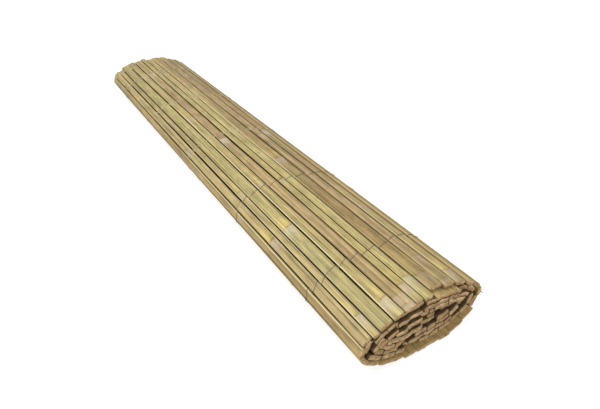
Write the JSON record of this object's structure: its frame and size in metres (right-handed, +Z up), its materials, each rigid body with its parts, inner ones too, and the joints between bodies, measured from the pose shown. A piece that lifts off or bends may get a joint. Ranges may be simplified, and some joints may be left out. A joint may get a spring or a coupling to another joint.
{
  "type": "rolled bamboo screening mat",
  "caption": "Mat of split bamboo slats bound with rows of thin wire, rolled up and pressed to a flat oval roll that lies on the ground.",
  "frame": {"origin": "middle of the roll's box, on the ground under it", "axes": "+X along the slats towards the evenly cut end, +Y across the roll, +Z up"},
  "size_m": [0.9998, 0.182, 0.0746],
  "materials": {
    "bamboo": "dry split bamboo, satin skin",
    "wire": "dull galvanised"
  },
  "bodies": {
    "root": {"outer_slat_01": "bamboo", "outer_slat_02": "bamboo", "outer_slat_03": "bamboo", "outer_slat_04": "bamboo", "outer_slat_05": "bamboo", "outer_slat_06": "bamboo", "outer_slat_07": "bamboo", "outer_slat_08": "bamboo", "outer_slat_09": "bamboo", "outer_slat_10": "bamboo", "outer_slat_11": "bamboo", "outer_slat_12": "bamboo", "outer_slat_13": "bamboo", "outer_slat_14": "bamboo", "outer_slat_15": "bamboo", "outer_slat_16": "bamboo", "outer_slat_17": "bamboo", "outer_slat_18": "bamboo", "outer_slat_19": "bamboo", "outer_slat_20": "bamboo", "outer_slat_21": "bamboo", "outer_slat_22": "bamboo", "outer_slat_23": "bamboo", "outer_slat_24": "bamboo", "turn_2_slats": "bamboo", "turn_3_slats": "bamboo", "turn_4_slats": "bamboo", "turn_5_slats": "bamboo", "turn_6_slats": "bamboo", "wire_row_1": "wire", "wire_row_2": "wire", "wire_row_3": "wire", "wire_row_4": "wire", "wire_row_5": "wire"}
  },
  "joints": []
}
